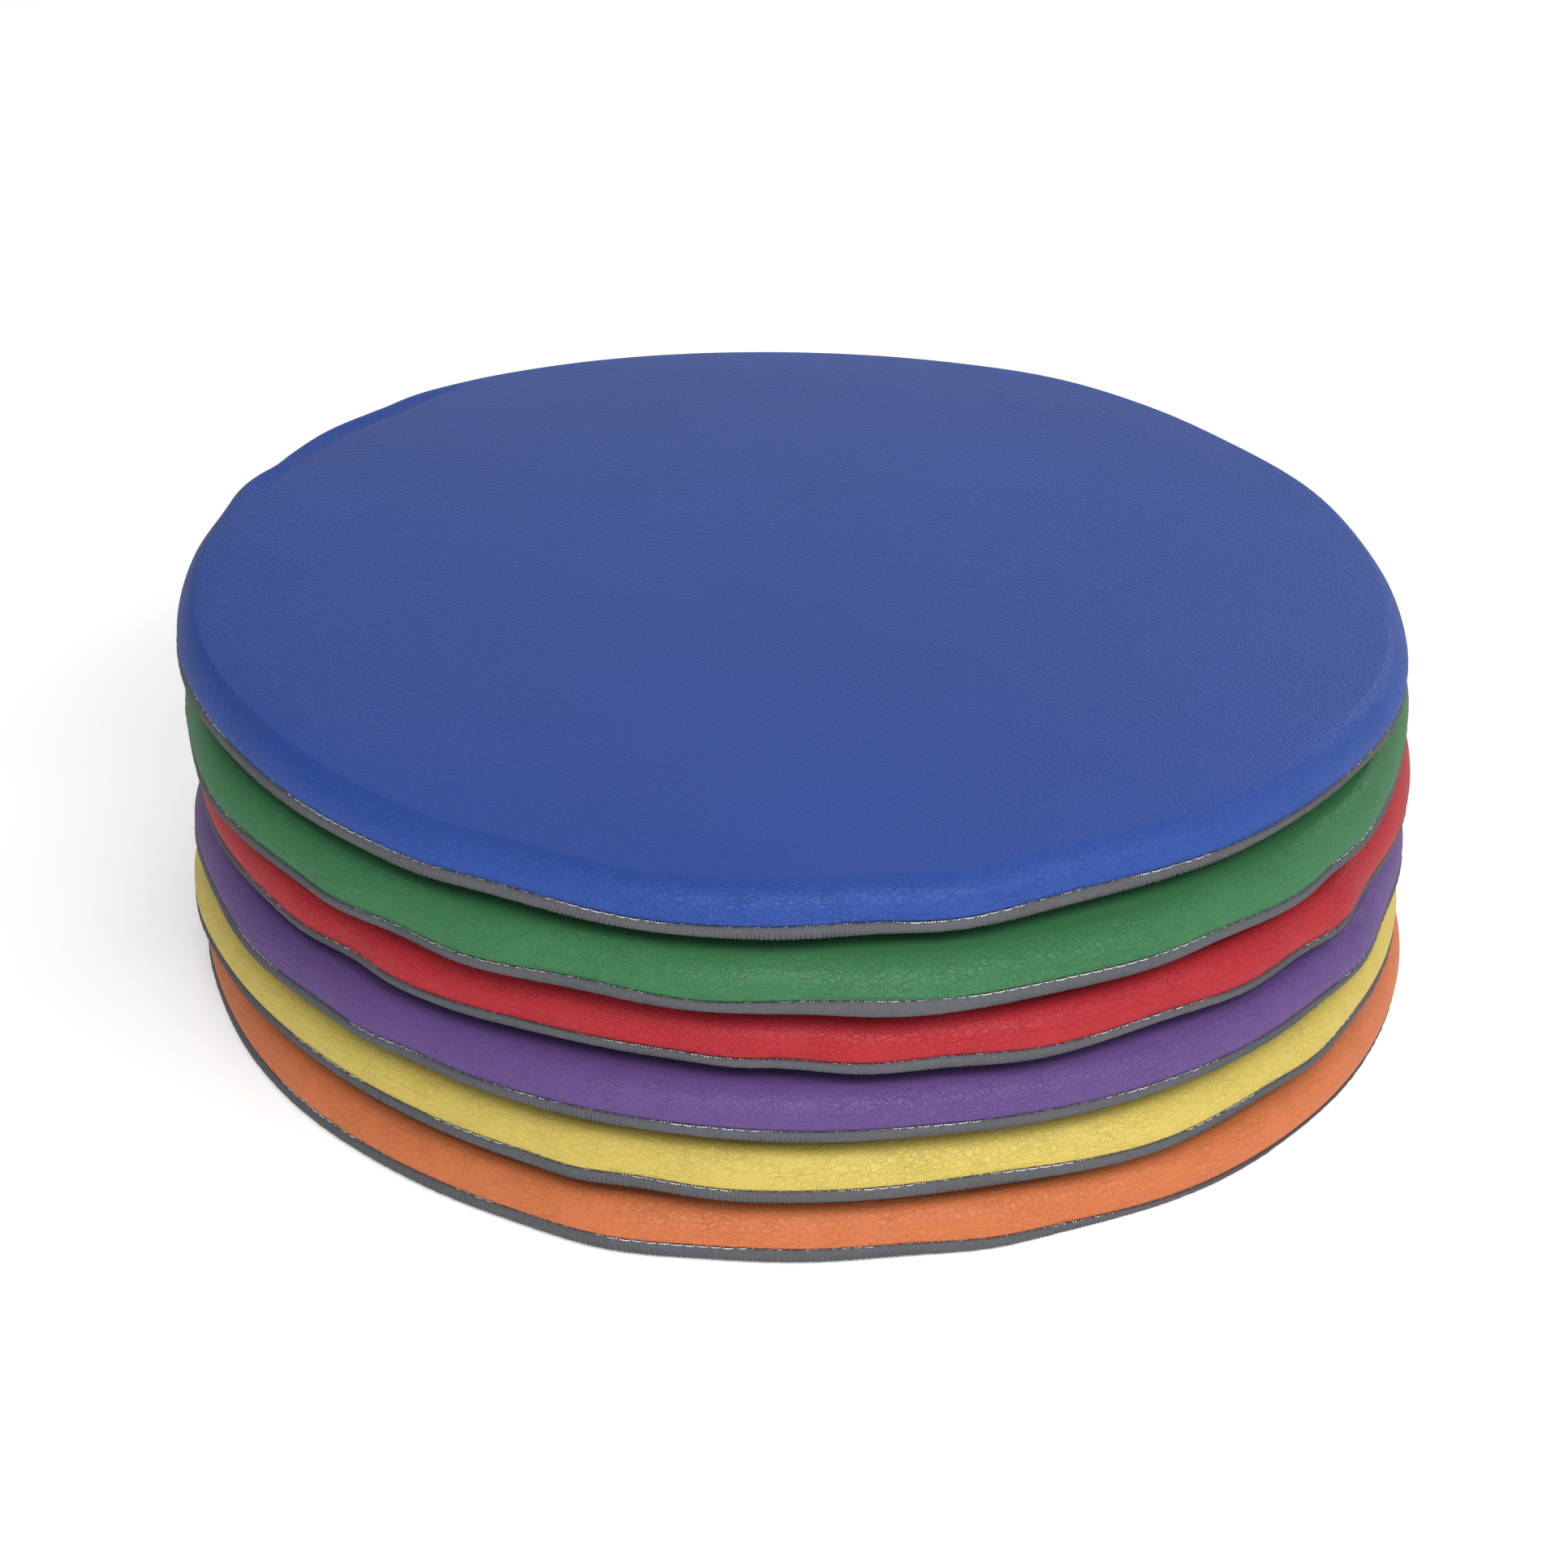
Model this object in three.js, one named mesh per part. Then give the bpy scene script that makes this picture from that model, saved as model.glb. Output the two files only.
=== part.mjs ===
// A stack of six round floor cushions for sitting on. Each cushion is a thin foam pad in a sewn cover:
// a coloured top cover that wraps over the rim, a grey bottom cover, and the thread that joins them
// in a seam low on the side. Millimetres, +Z up. The origin is on the floor, under the middle of the
// stack's outer size.

import * as THREE from "three";

// One cushion
const SEAM_RADIUS = 190.5;          // half of 15 inches, from the centre to the seam
const CUSHION_PITCH = 21.65;        // from one cushion's underside to that of the next one up
const RESTING_GAP = 0.3;            // between a cushion and the one it rests on
const CUSHION_HEIGHT = CUSHION_PITCH - RESTING_GAP;
const SEAM_HEIGHT = 5;              // from the underside to the stitching
const RIM_WIDTH = 19;               // how far inside the seam the flat top ends
const UNDERSIDE_CURVE = 8;          // how far inside the seam the flat underside ends

// Covers, padding and thread
const COVER_THICKNESS = 1;
const SEAM_ALLOWANCE = 6;           // width of the sewn edge that each cover turns in
const SEAM_GAP = 0.3;               // between the two turned-in edges
const GROOVE_DEPTH = 1.2;           // how far the seam is drawn in
const PADDING_CLEARANCE = 0.4;      // between the foam and the covers
const THREAD_RADIUS = 0.35;
const THREAD_INSET = 0.35;          // from the cushion's outer edge in to the thread's centre

// Facets
const ROUND_SEGMENTS = 32;
const RIM_STEPS = 4;
const UNDERSIDE_STEPS = 2;
const THREAD_SIDES = 6;

// The six cushions, from the floor up, each a little out of line with the others
const CUSHIONS = [
  { name: "orange", colour: 0xe58a55, x: 2.9, y: 1.9 },
  { name: "yellow", colour: 0xe9d470, x: 2.4, y: 1.2 },
  { name: "purple", colour: 0x664e91, x: 2.9, y: -1.4 },
  { name: "red", colour: 0xbd3238, x: 4.1, y: 1.0 },
  { name: "green", colour: 0x347c48, x: 0.7, y: -3.0 },
  { name: "blue", colour: 0x324f9a, x: -4.1, y: 3.0 },
];
const GREY_COLOUR = 0x74757a;
const FOAM_COLOUR = 0xece6d2;
const THREAD_COLOUR = 0xdedfe2;

// Heights above a cushion's underside
const TOP_EDGE_UNDER = SEAM_HEIGHT + SEAM_GAP / 2;
const TOP_EDGE_OVER = TOP_EDGE_UNDER + COVER_THICKNESS;
const BOTTOM_EDGE_OVER = SEAM_HEIGHT - SEAM_GAP / 2;
const BOTTOM_EDGE_UNDER = BOTTOM_EDGE_OVER - COVER_THICKNESS;

const point = (radius, height) => new THREE.Vector2(radius, height);

// A quarter of an ellipse about (centreRadius, centreHeight), from its outermost point to the point
// straight above the centre, or straight below it where rise is negative.
function quarterArc(centreRadius, centreHeight, width, rise, steps) {
  const points = [];
  for (let step = 0; step <= steps; step += 1) {
    const angle = (step / steps) * (Math.PI / 2);
    points.push(point(centreRadius + width * Math.cos(angle), centreHeight + rise * Math.sin(angle)));
  }
  return points;
}

// A solid of revolution about +Z. Its profile runs anticlockwise in radius and height.
function revolve(profile) {
  const geometry = new THREE.LatheGeometry(profile, ROUND_SEGMENTS);
  geometry.rotateX(Math.PI / 2);
  return geometry;
}

// The rounded rim's surface, at a distance inside the cushion's outer face.
function rimArc(inset, baseHeight) {
  const width = RIM_WIDTH - inset;
  const rise = CUSHION_HEIGHT - inset - baseHeight;
  return quarterArc(SEAM_RADIUS - RIM_WIDTH, baseHeight, width, rise, RIM_STEPS);
}

// The curve from the seam down to the flat underside, at a distance inside the outer face.
function undersideArc(inset) {
  const width = UNDERSIDE_CURVE - inset;
  const drop = BOTTOM_EDGE_UNDER - inset;
  return quarterArc(SEAM_RADIUS - UNDERSIDE_CURVE, BOTTOM_EDGE_UNDER, width, -drop, UNDERSIDE_STEPS);
}

function topCover() {
  const outside = rimArc(0, TOP_EDGE_OVER);
  const inside = rimArc(COVER_THICKNESS, TOP_EDGE_OVER);
  return revolve([
    point(0, CUSHION_HEIGHT - COVER_THICKNESS),
    ...inside.reverse(),
    point(SEAM_RADIUS - SEAM_ALLOWANCE, TOP_EDGE_OVER),
    point(SEAM_RADIUS - SEAM_ALLOWANCE, TOP_EDGE_UNDER),
    point(SEAM_RADIUS - GROOVE_DEPTH, TOP_EDGE_UNDER),
    ...outside,
    point(0, CUSHION_HEIGHT),
  ]);
}

function bottomCover() {
  const outside = undersideArc(0);
  const inside = undersideArc(COVER_THICKNESS);
  return revolve([
    point(0, 0),
    ...outside.reverse(),
    point(SEAM_RADIUS - GROOVE_DEPTH, BOTTOM_EDGE_OVER),
    point(SEAM_RADIUS - SEAM_ALLOWANCE, BOTTOM_EDGE_OVER),
    point(SEAM_RADIUS - SEAM_ALLOWANCE, BOTTOM_EDGE_UNDER),
    ...inside,
    point(0, COVER_THICKNESS),
  ]);
}

// The foam fills the cover and is let in around the turned-in edges of the seam.
function foamPad() {
  const inset = COVER_THICKNESS + PADDING_CLEARANCE;
  const waistRadius = SEAM_RADIUS - SEAM_ALLOWANCE - PADDING_CLEARANCE;
  const waistTop = TOP_EDGE_OVER + PADDING_CLEARANCE;
  return revolve([
    point(0, inset),
    point(SEAM_RADIUS - UNDERSIDE_CURVE, inset),
    point(waistRadius, inset + PADDING_CLEARANCE),
    point(waistRadius, waistTop),
    ...rimArc(inset, waistTop),
    point(0, CUSHION_HEIGHT - inset),
  ]);
}

// The line of stitching, as one ring of thread in the groove between the covers.
function seamThread() {
  const ring = [];
  for (let side = 0; side < THREAD_SIDES; side += 1) {
    const angle = (side / THREAD_SIDES) * 2 * Math.PI;
    const radius = SEAM_RADIUS - THREAD_INSET + THREAD_RADIUS * Math.cos(angle);
    ring.push(point(radius, SEAM_HEIGHT + THREAD_RADIUS * Math.sin(angle)));
  }
  return revolve([...ring, ring[0]]);
}

const vinyl = (colour) => new THREE.MeshStandardMaterial({ color: colour, roughness: 0.45, metalness: 0 });
const foam = () => new THREE.MeshStandardMaterial({ color: FOAM_COLOUR, roughness: 0.95, metalness: 0 });
const thread = () => new THREE.MeshStandardMaterial({ color: THREAD_COLOUR, roughness: 0.4, metalness: 0 });

function part(name, geometry, material) {
  const mesh = new THREE.Mesh(geometry, material);
  mesh.name = name;
  return mesh;
}

function cushion(name, colour) {
  const group = new THREE.Group();
  group.add(part(`${name}_bottom_cover`, bottomCover(), vinyl(GREY_COLOUR)));
  group.add(part(`${name}_foam_pad`, foamPad(), foam()));
  group.add(part(`${name}_seam_thread`, seamThread(), thread()));
  group.add(part(`${name}_top_cover`, topCover(), vinyl(colour)));
  return group;
}

const stack = new THREE.Group();
CUSHIONS.forEach(({ name, colour, x, y }, level) => {
  const placed = cushion(name, colour);
  placed.position.set(x, y, level * CUSHION_PITCH);
  stack.add(placed);
});

export default stack;
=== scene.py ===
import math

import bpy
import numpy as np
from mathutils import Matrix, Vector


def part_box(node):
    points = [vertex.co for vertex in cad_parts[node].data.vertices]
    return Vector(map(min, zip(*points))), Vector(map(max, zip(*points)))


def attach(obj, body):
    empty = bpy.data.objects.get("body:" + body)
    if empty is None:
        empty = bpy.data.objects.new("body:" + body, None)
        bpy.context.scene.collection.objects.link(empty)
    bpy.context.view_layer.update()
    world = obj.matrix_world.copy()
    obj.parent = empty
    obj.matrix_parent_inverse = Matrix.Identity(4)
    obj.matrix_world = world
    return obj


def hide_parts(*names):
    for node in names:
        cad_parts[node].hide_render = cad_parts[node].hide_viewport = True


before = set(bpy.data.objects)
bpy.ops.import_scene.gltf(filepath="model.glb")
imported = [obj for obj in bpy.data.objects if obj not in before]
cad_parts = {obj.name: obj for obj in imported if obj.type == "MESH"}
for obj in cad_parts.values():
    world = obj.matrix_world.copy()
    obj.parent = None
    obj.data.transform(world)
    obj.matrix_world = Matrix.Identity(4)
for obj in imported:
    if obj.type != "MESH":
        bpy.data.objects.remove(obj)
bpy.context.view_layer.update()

# Six round floor cushions in a stack. Each is a foam pad in a sewn vinyl cover, coloured over the top and
# rim, and grey underneath. A short cloth simulation swells each cover over its foam. The covers' fine
# meshes, with the rolled seam, the puckered grey edge and the stitches, are then built on that shape.
# Everything is in metres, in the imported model's frame. Angles run anticlockwise from +X, seen from above.

MM = 0.001

# Covers, seam and stitches
COVER_THICKNESS = 1.0 * MM
SEAM_ALLOWANCE = 5.0 * MM           # how far the sewn edges turn in
SEAM_HALF_GAP = 0.12 * MM           # from the middle of the seam to each turned-in edge
STITCH_LENGTH = 3.75 * MM
THREAD_RADIUS = 0.19 * MM
PUCKER_LENGTH = 1.35 * MM           # from one pucker of the grey cover to the next
PUCKER_HEIGHT = 0.34 * MM
PUCKER_START = -0.5                 # millimetres up from the seam where the puckers begin
PUCKER_FULL = -2.8                  # and where they are at their full height

# The two covers' edges at the seam: (millimetres outwards from the seam, millimetres up from it). The
# coloured one rolls in above the thread and leaves a narrow groove, except where a stitch pulls it down.
COLOURED_ROLL = [(-0.03, 0.92), (-0.1, 0.68), (-0.25, 0.5), (-0.5, 0.4), (-0.9, 0.36)]
GREY_SHOULDER = [(-1.0, -0.15), (-0.6, -0.28), (-0.3, -0.5), (-0.05, -0.8)]
GREY_SIDE = [(0.22, -1.2), (0.42, -1.8), (0.5, -2.4), (0.38, -3.1), (0.0, -3.75), (-0.7, -4.3),
             (-1.9, -4.75)]
GROOVE_DEPTH = 1.6 * MM             # how far in the groove ends, on the coloured cover
STITCH_PULLS_IN = 0.15              # how far a stitch pulls the coloured edge, in millimetres
STITCH_PULLS_DOWN = 0.33
STITCH_DIMPLE = 0.2                 # and the grey one
HOLE_RADIUS = 0.03                  # of the needle holes, as a share of a stitch
PULL_RADIUS = 0.14                  # how far from a hole the pull fades out, likewise

# Rings of the grey cover's turned-in edge and of its underside: (how far inside the seam, one point kept
# in how many)
GREY_EDGE = [(SEAM_ALLOWANCE, 8), (0.6 * SEAM_ALLOWANCE, 4), (1.7 * MM, 2)]
GREY_UNDERSIDE = [(3.6 * MM, 2), (5.5 * MM, 4), (9.0 * MM, 8), (14.0 * MM, 16), (24.0 * MM, 16)]

# The grey cover's inner face as it rises to the seam: (how far inside the seam, height as a share of the
# seam's height, and more height as a share of the cover's thickness)
GREY_LINING = [(6.0 * MM, 0.0, 1.0), (3.2 * MM, 0.3, 0.3), (1.5 * MM, 0.5, 0.0), (1.9 * MM, 0.7, 0.0),
               (SEAM_ALLOWANCE, 0.72, 0.0)]
LINING_FLAT = 10.0 * MM             # how far inside the seam its flat part ends

# The foam pad
PAD_CLEARANCE = 0.4 * MM            # between the foam and the covers
PAD_INSET = COVER_THICKNESS + PAD_CLEARANCE

# The shape before the simulation
RIM_WIDTH = 9.0 * MM                # how far inside the seam the rounded rim ends, at the front
RIM_TIGHTER = 0.33                  # how much narrower it is at the sides and back
RIM_WAVES = 0.8                     # how much of the seam's wandering its inner edge follows
RIM_RISE = 11.2 * MM                # how far above the seam it ends, and the gently domed top begins
DOME_POWER = 1.5
RIM_BULGE = 1.0 * MM                # how far the rim swells out over the seam
SHRINK = 0.8 * MM                   # the cover starts this much smaller than the CAD solid
CROWN = 0.5 * MM                    # how far a free top may rise above the CAD solid
SEAM_TUCK = 1.4                     # how far the front and back of a seam move in for each millimetre lower
UNDERSIDE_CURVE = 8.0 * MM          # how far inside the seam the flat underside ends

# Rings of that shape: across the top, down the rim to the seam, and round to the flat underside
FLAT_ROWS = 18
RIM_ROWS = 7
TURN_ROWS = 3
SEAM_ROW = FLAT_ROWS + RIM_ROWS
ROLL_ROW = SEAM_ROW - 0.6           # where the coloured cover starts to roll in
LINING_ROW = SEAM_ROW - 1.2         # where its inner face leaves the seam allowance
PAD_ROW = SEAM_ROW - 1.6            # where the foam's rim ends

# The cloth simulation, and what is kept of it
SIM_FRAMES = 20
SIM_PRESSURE = 4
MOST_SWELL = 1.2 * MM               # the furthest that a point may move
RIM_GIVE = 0.25                     # the share of the movement that the firm rim lets happen
KEPT_WAVES = 9                      # ripples of more waves a turn than this fade out

# Points round each surface's widest rings, which are halved towards the centre
SIM_SEGMENTS = 128
TOP_SEGMENTS = 640
EDGE_SEGMENTS = 2560
PUCKER_SEGMENTS = 5120
LINING_SEGMENTS = 320
PAD_SEGMENTS = 256
FEWEST_SEGMENTS = 8                 # a ring of this many points isn't halved

# The distance between a ring's points below which it is halved
SIM_SPACING = 6.0 * MM
TOP_SPACING = 1.7 * MM
UNDERSIDE_SPACING = 3.3 * MM
LINING_SPACING = 3.4 * MM
PAD_SPACING = 4.0 * MM

# Each stitch is a closed tube of this many rings and sides
STITCH_RINGS = 12
STITCH_SIDES = 6

# How far each seam wanders from a true circle: (angle in degrees, millimetres outwards), at its bulges
# and dips. The last points are round the back.
OUTLINES = {
    "orange": [(-165, 1.4), (-149, 0.2), (-136, -0.5), (-118, 0.0), (-108, 2.0), (-100, 0.0), (-91, -0.8),
               (-82, -2.0), (-74, 0.0), (-68, -0.2), (-56, 2.2), (-38, 1.4), (-22, -0.2), (5, -1.4),
               (45, -0.8), (80, 1.0), (115, -0.6), (150, 0.8), (178, 5.0)],
    "yellow": [(-172, 5.8), (-160, 2.0), (-142, -1.6), (-124, -1.8), (-116, -0.8), (-111, 0.9),
               (-106, -0.3), (-98, 1.4), (-88, 0.3), (-75, -1.6), (-59, 2.6), (-44, 0.2), (-38, 1.0),
               (-31, -0.6), (-21, -1.8), (5, -4.0), (40, 0.8), (70, -1.0), (105, 1.2), (145, 0.0),
               (177, 7.8)],
    "purple": [(-163, 1.7), (-152, 0.9), (-140, -1.1), (-135, -0.5), (-129, -1.9), (-122, -1.0),
               (-112, -0.3), (-101, 0.0), (-89, 0.3), (-81, -0.4), (-72, 0.5), (-60, 1.5), (-46, 1.1),
               (-38, 0.0), (-29, 0.3), (-21, -3.0), (-10, -3.4), (5, -4.0), (30, 0.8), (65, -0.6),
               (110, 1.0), (150, -0.4), (178, 6.4)],
    "red": [(-164, 2.8), (-150, 0.5), (-144, 0.2), (-137, -2.2), (-131, -0.3), (-125, -0.5), (-117, -2.3),
            (-110, -2.3), (-103, -1.7), (-97, -0.3), (-94, -1.1), (-86, 1.6), (-79, 0.5), (-72, 2.7),
            (-58, 0.5), (-50, 2.3), (-41, 0.1), (-36, 1.5), (-29, -2.4), (-18, -3.0), (0, -3.6),
            (25, 0.0), (70, -1.0), (115, 0.8), (155, 0.5), (178, 4.0)],
    "green": [(-172, 2.2), (-158, 2.1), (-142, -0.8), (-137, 0.0), (-129, -1.8), (-121, 0.3),
              (-111, -2.2), (-99, 1.2), (-90, -0.8), (-79, 1.7), (-68, 0.5), (-58, 1.1), (-53, 0.2),
              (-41, 1.8), (-36, 0.2), (-30, 0.4), (-22, -1.6), (-12, -3.0), (0, -2.0), (20, 0.5),
              (60, -0.8), (100, 0.8), (140, -0.5), (178, 4.6)],
    "blue": [(-170, -0.7), (-152, -3.9), (-140, -4.0), (-131, -3.6), (-124, -2.7), (-118, -3.5),
             (-100, 2.0), (-92, 1.7), (-83, 0.2), (-77, 2.3), (-66, -1.1), (-48, 1.9), (-37, 2.3),
             (-30, 2.6), (-22, 3.3), (0, -0.7), (10, -2.3), (24, -2.2), (37, -4.0), (48, -2.0), (61, 0.5),
             (73, -1.4), (94, -0.4), (104, 2.6), (116, 7.1), (126, 10.6), (131, 11.1), (135, 9.9),
             (143, 10.0), (149, 7.7), (152, 6.6), (156, 8.0), (162, 5.0), (170, 3.3), (176, 1.8)],
}

# How far each seam sits above or below its usual height, in millimetres: (angle, rise)
SEAM_RISES = {
    "orange": [(-140, -0.4), (-90, 0.0), (-74, -0.8), (-62, -2.5), (-50, -3.3), (-40, -4.0), (-22, -4.1),
               (30, -2.0), (90, 0.0)],
    "yellow": [(-140, -1.2), (-118, -0.2), (-95, -0.5), (-75, -0.1), (-60, -0.9), (-35, -1.9), (60, 0.0)],
    "purple": [(-130, -1.0), (-95, -0.8), (-60, -1.2), (-40, -2.0), (40, 0.0), (130, 0.0)],
    "red": [(-145, -2.2), (-118, -1.5), (-97, -1.6), (-86, -1.0), (-76, -0.6), (-66, -1.4), (-50, -1.9),
            (-30, -2.6), (60, -0.5)],
    "green": [(-160, -1.2), (-125, -1.4), (-108, -0.6), (-98, -1.1), (-91, 0.0), (-84, 1.3), (-76, 0.3),
              (-62, -0.1), (-50, -0.8), (-35, -1.3), (60, 0.0)],
    "blue": [(-150, -0.3), (-110, -0.3), (-101, -0.9), (-88, -0.2), (-78, -0.8), (-66, 0.0), (-53, -0.9),
             (-42, -1.7), (0, -1.5), (90, 0.0), (170, -0.2)],
}

# The fold in the blue top at its back left: a valley with a ridge outside it, from one angle to another
FOLD_START = 124.0
FOLD_END = 166.0
FOLD_FADE = 9.0                     # degrees over which it fades in and out
FOLD_SWAY = 1.2 * MM                # how far it bends in and out
FOLD_SWAYS = 9                      # bends in a full turn
FOLD_VALLEY = 11.5 * MM             # how far inside the seam the valley and the ridge run
FOLD_RIDGE = 7.0 * MM
VALLEY_WIDTH = 2.2 * MM
RIDGE_WIDTH = 2.4 * MM
VALLEY_DEPTH = 0.55 * MM
RIDGE_HEIGHT = 0.605 * MM

# How the grey cover's puckers lean, in millimetres sideways per millimetre down: (angle, lean)
PUCKER_LEANS = {
    "orange": [(-150, 0.3), (-95, -0.5), (-40, 0.8), (30, 0.0), (110, -0.4)],
    "yellow": [(-160, 0.8), (-110, 0.2), (-60, -0.9), (20, 0.3), (100, 0.6)],
    "purple": [(-140, -0.6), (-90, 0.2), (-50, 0.7), (40, -0.3), (120, 0.5)],
    "red": [(-150, 0.6), (-110, 1.2), (-75, -0.9), (-40, -0.5), (60, 0.3), (140, -0.5)],
    "green": [(-150, 0.4), (-118, 1.1), (-92, 0.9), (-70, -1.1), (-35, -0.4), (50, 0.5), (130, 0.0)],
    "blue": [(-160, 0.4), (-120, 0.5), (-92, 0.0), (-60, -0.3), (-30, -0.5), (60, 0.2), (140, 0.4)],
}

# Diffuse colours, as sRGB
COLOURS = {
    "orange": (0.753, 0.429, 0.266),
    "yellow": (0.760, 0.680, 0.349),
    "purple": (0.362, 0.270, 0.480),
    "red": (0.632, 0.160, 0.188),
    "green": (0.222, 0.425, 0.278),
    "blue": (0.172, 0.279, 0.556),
}
GREY = (0.324, 0.327, 0.344)
FOAM = (0.93, 0.90, 0.82)
THREAD = (0.88, 0.89, 0.90)
FLOOR = (0.97, 0.97, 0.97)

# The vinyl's sets of creases: (heading in degrees, cells in a metre, how many times longer than wide)
CREASE_SETS = [(28, 520, 2.6), (-40, 560, 2.6), (85, 430, 1.4)]
CREASE_WIDTH = 0.055                # as a share of a cell

# Softboxes: (degrees round from the front towards the right, degrees up, width and height in m, watts)
LIGHT_DISTANCE = 2.4
LIGHT_TARGET = (0, 0, 0.05)
LIGHTS = {
    "front_low": (0, 30, 1.8, 0.6, 9.5),
    "front": (0, 47, 1.8, 0.7, 33.5),
    "front_left": (-45, 40, 1.2, 0.9, 3.5),
    "front_right": (45, 40, 1.2, 0.9, 20.0),
    "left": (-90, 58, 1.4, 0.9, 2.2),
    "right": (90, 28, 1.4, 0.9, 6.0),
    "back_right": (140, 28, 1.2, 0.9, 17.5),
    "back_low": (177, 14, 1.8, 0.5, 4.5),
    "back": (177, 30, 1.8, 0.6, 3.1),
    "back_high": (177, 50, 1.8, 0.7, 3.6),
}
WORLD_STRENGTH = 0.01

# The floor is round and curves up into a low wall, and glows to stay pale where few softboxes reach. The
# glow grows from NEAR_FLOOR to FAR_FLOOR, which are distances from the stack in metres.
FLOOR_RADIUS = 12.0
FLOOR_CURVE = 1.0
WALL_HEIGHT = 2.2
FLOOR_SEGMENTS = 96
FLOOR_CURVE_STEPS = 8
FLOOR_GLOW = 0.3
FAR_FLOOR_GLOW = 0.85
NEAR_FLOOR = 1.0
FAR_FLOOR = 3.5

# The camera, in front of the stack
CAMERA_PLACE = (-0.0062, -1.2299, 0.7281)
CAMERA_TILT = 28.69                 # degrees below level
CAMERA_LENS = 100.9                 # millimetres, on a film 36 mm wide


# ---------------------------------------------------------------- curves and noise

def closed_curve(points, angles):
    """A smooth closed curve through (angle, value) points, read at these angles, all in degrees."""
    knots = np.array(sorted((a % 360.0, v) for a, v in points))
    around = np.concatenate([knots[-2:] - [360, 0], knots, knots[:2] + [360, 0]])
    x, y = around[:, 0], around[:, 1]
    slope = np.gradient(y, x)
    at = np.asarray(angles) % 360.0
    low = np.clip(np.searchsorted(x, at, side="right") - 1, 0, len(x) - 2)
    width = x[low + 1] - x[low]
    t = (at - x[low]) / width
    ease = t * t * (3 - 2 * t)
    return ((1 - ease) * y[low] + ease * y[low + 1]
            + width * (t * (1 - t) ** 2 * slope[low] - t * t * (1 - t) * slope[low + 1]))


def wander(angles, seed, waves):
    """Smooth seeded noise round a circle, about -1 to 1, of roughly this many waves a turn."""
    random = np.random.default_rng(seed)
    total = np.zeros(len(angles))
    turns = np.radians(angles)
    for order in range(max(1, waves // 2), waves * 3 // 2 + 1):
        total += random.normal() * np.cos(order * turns + random.uniform(0, 2 * math.pi))
    return total / (np.abs(total).max() + 1e-9)


def smooth_step(low, high, value):
    """0 at low and 1 at high, with a smooth change between them."""
    t = np.clip((value - low) / (high - low), 0, 1)
    return t * t * (3 - 2 * t)


def degrees_round(count):
    """Even angles round a circle."""
    return np.arange(count) * 360.0 / count


def spread(values, at):
    """Reads rows of values at fractional row numbers, smoothly."""
    base = np.clip(np.floor(at).astype(int), 0, len(values) - 2)
    t = (np.asarray(at) - base)[:, None, None]
    before = values[np.clip(base - 1, 0, len(values) - 1)]
    here = values[base]
    after = values[base + 1]
    beyond = values[np.clip(base + 2, 0, len(values) - 1)]
    return cubic(before, here, after, beyond, t)


def cubic(before, here, after, beyond, t):
    """Catmull-Rom interpolation between here and after."""
    return here + 0.5 * t * (after - before + t * (2 * before - 5 * here + 4 * after - beyond
                                                   + t * (3 * (here - after) + beyond - before)))


def turn(rows, count):
    """Reads rings of points at this many even angles, smoothly."""
    held = rows.shape[1]
    at = np.arange(count) * held / count
    base = np.floor(at).astype(int)
    t = (at - base)[None, :, None]
    return cubic(rows[:, (base - 1) % held], rows[:, base % held], rows[:, (base + 1) % held],
                 rows[:, (base + 2) % held], t)


# ---------------------------------------------------------------- meshes

def ring(angles, radius, height):
    """A ring of points at these angles, with a radius and a height for each or for all."""
    turns = np.radians(angles)
    height = np.broadcast_to(height, turns.shape)
    return np.stack([radius * np.cos(turns), radius * np.sin(turns), height], axis=1)


def band(n, m, start, next_start):
    """Faces between rings of n and m points that follow each other. M is n, or half or twice n."""
    i = np.arange(n)
    j = np.arange(m)
    if n == m:
        faces = [[start + i, next_start + i, next_start + (i + 1) % n, start + (i + 1) % n]]
    elif n == 2 * m:
        even, odd, last = start + 2 * j, start + 2 * j + 1, start + (2 * j + 2) % n
        near, far = next_start + j, next_start + (j + 1) % m
        faces = [[even, near, odd], [odd, near, far], [odd, far, last]]
    elif m == 2 * n:
        near, far = start + i, start + (i + 1) % n
        even, odd, last = next_start + 2 * i, next_start + 2 * i + 1, next_start + (2 * i + 2) % m
        faces = [[near, even, odd], [near, odd, far], [far, odd, last]]
    else:
        raise ValueError(f"rings of {n} and {m} points don't meet")
    return [face for group in faces for face in np.stack(group, axis=1).tolist()]


def skin(rings):
    """Points and faces of the closed surface through these rings, with a centre point at each end."""
    points = [rings[0].mean(axis=0, keepdims=True)]
    faces = []
    start = 1
    count = len(rings[0])
    faces += [[0, start + i, start + (i + 1) % count] for i in range(count)]
    for here, after in zip(rings, rings[1:]):
        points.append(here)
        faces += band(len(here), len(after), start, start + len(here))
        start += len(here)
    points.append(rings[-1])
    points.append(rings[-1].mean(axis=0, keepdims=True))
    count = len(rings[-1])
    centre = start + count
    faces += [[start + i, centre, start + (i + 1) % count] for i in range(count)]
    return np.concatenate(points), faces


def mesh_object(name, points, faces, place=(0.0, 0.0, 0.0)):
    """A smooth-shaded mesh object, its points moved to their place and its origin left at the frame's."""
    mesh = bpy.data.meshes.new(name)
    mesh.from_pydata((np.asarray(points) + place).tolist(), [], faces)
    mesh.update()
    mesh.shade_smooth()
    made = bpy.data.objects.new(name, mesh)
    bpy.context.collection.objects.link(made)
    return made


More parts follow.
